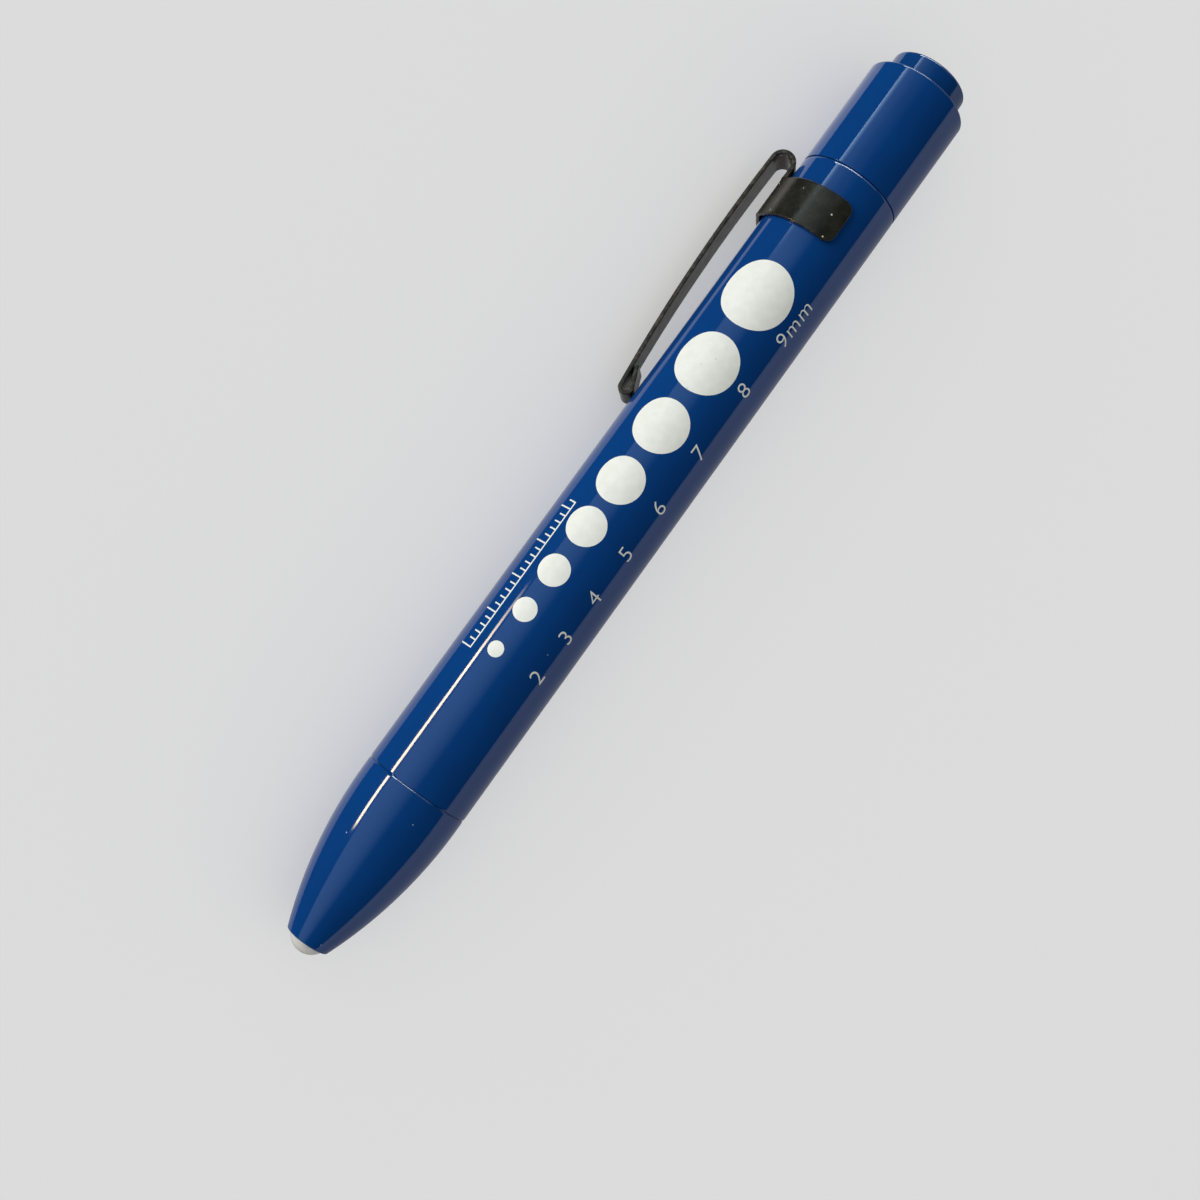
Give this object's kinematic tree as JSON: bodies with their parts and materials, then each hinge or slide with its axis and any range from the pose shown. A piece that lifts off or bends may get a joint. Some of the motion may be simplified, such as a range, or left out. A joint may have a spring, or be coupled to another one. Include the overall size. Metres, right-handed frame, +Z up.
{
  "type": "penlight",
  "caption": "Slim pocket penlight: blue painted tube with ogive nose and domed lamp, screw-on tail cap with a sprung push button, and a black spring-steel pocket clip.",
  "frame": {"origin": "Centre of the bounding box at the floor, with the pen lying on its clip band and on the lower edge of the clip arm", "axes": "+X along the pen from the lamp to the tail button, +Y to the side where the clip lies, +Z up"},
  "size_m": [0.1318, 0.0166, 0.0147],
  "materials": {
    "blue_paint": "glossy blue enamel on turned aluminium",
    "button_paint": "glossy blue enamel, worn edge",
    "clip_black": "satin black oxide on spring steel",
    "lamp_epoxy": "clear cast epoxy lens",
    "lamp_phosphor": "yellow phosphor on the chip",
    "tinned_steel": "tinned lead frame",
    "white_moulding": "moulded nylon",
    "board_green": "glass-fibre board, green lacquer",
    "resistor_black": "black film resistor",
    "contact_brass": "bare turned brass",
    "spring_steel": "drawn spring wire",
    "cell_steel": "nickel-plated steel",
    "cell_mix": "pressed oxide mix",
    "cell_sleeve": "plain dark shrink sleeve"
  },
  "bodies": {
    "barrel": {"nose_cone": "blue_paint", "lamp_lens": "lamp_epoxy", "lamp_cathode": "tinned_steel", "lamp_anode": "tinned_steel", "lamp_chip": "lamp_phosphor", "lamp_holder": "white_moulding", "contact_board": "board_green", "series_resistor": "resistor_black", "front_contact": "contact_brass", "lamp_ring": "contact_brass", "barrel": "blue_paint", "front_cell_can": "cell_steel", "front_cell_core": "cell_mix", "front_cell_seal": "white_moulding", "front_cell_end": "cell_steel", "front_cell_sleeve": "cell_sleeve", "rear_cell_can": "cell_steel", "rear_cell_core": "cell_mix", "rear_cell_seal": "white_moulding", "rear_cell_end": "cell_steel", "rear_cell_sleeve": "cell_sleeve", "clip_band": "clip_black"},
    "tail_spring": {"battery_spring": "spring_steel"},
    "tail_cap": {"tail_cap": "blue_paint", "switch_housing": "white_moulding", "contact_ring": "contact_brass", "button_spring": "spring_steel"},
    "button": {"push_button": "button_paint", "contact_plunger": "contact_brass"},
    "clip_arm": {"clip_arm": "clip_black"}
  },
  "joints": [
    {"name": "tail_cap_lift", "type": "slide", "parent": "barrel", "child": "tail_spring", "axis": [1, 0, 0], "range_m": [0, 0.0045]},
    {"name": "tail_cap_turn", "type": "hinge", "parent": "tail_spring", "child": "tail_cap", "pos_m": [0.04797, -0.00158, 0.00735], "axis": [1, 0, 0], "range_deg": [0, 2160]},
    {"name": "button_press", "type": "slide", "parent": "tail_cap", "child": "button", "axis": [-1, 0, 0], "range_m": [0, 0.002], "stiffness_N_per_m": 400, "springref_m": -0.002, "deforming": ["battery_spring", "button_spring"]},
    {"name": "clip_flex", "type": "hinge", "parent": "barrel", "child": "clip_arm", "pos_m": [0.04763, 0.00561, 0.00286], "axis": [0, -0.5293, -0.8484], "range_deg": [0, 5], "stiffness_Nm_per_rad": 1}
  ],
  "couplings": [
    {"joint": "tail_cap_lift", "follows": "tail_cap_turn", "m_per_rad": 0.00011937}
  ]
}
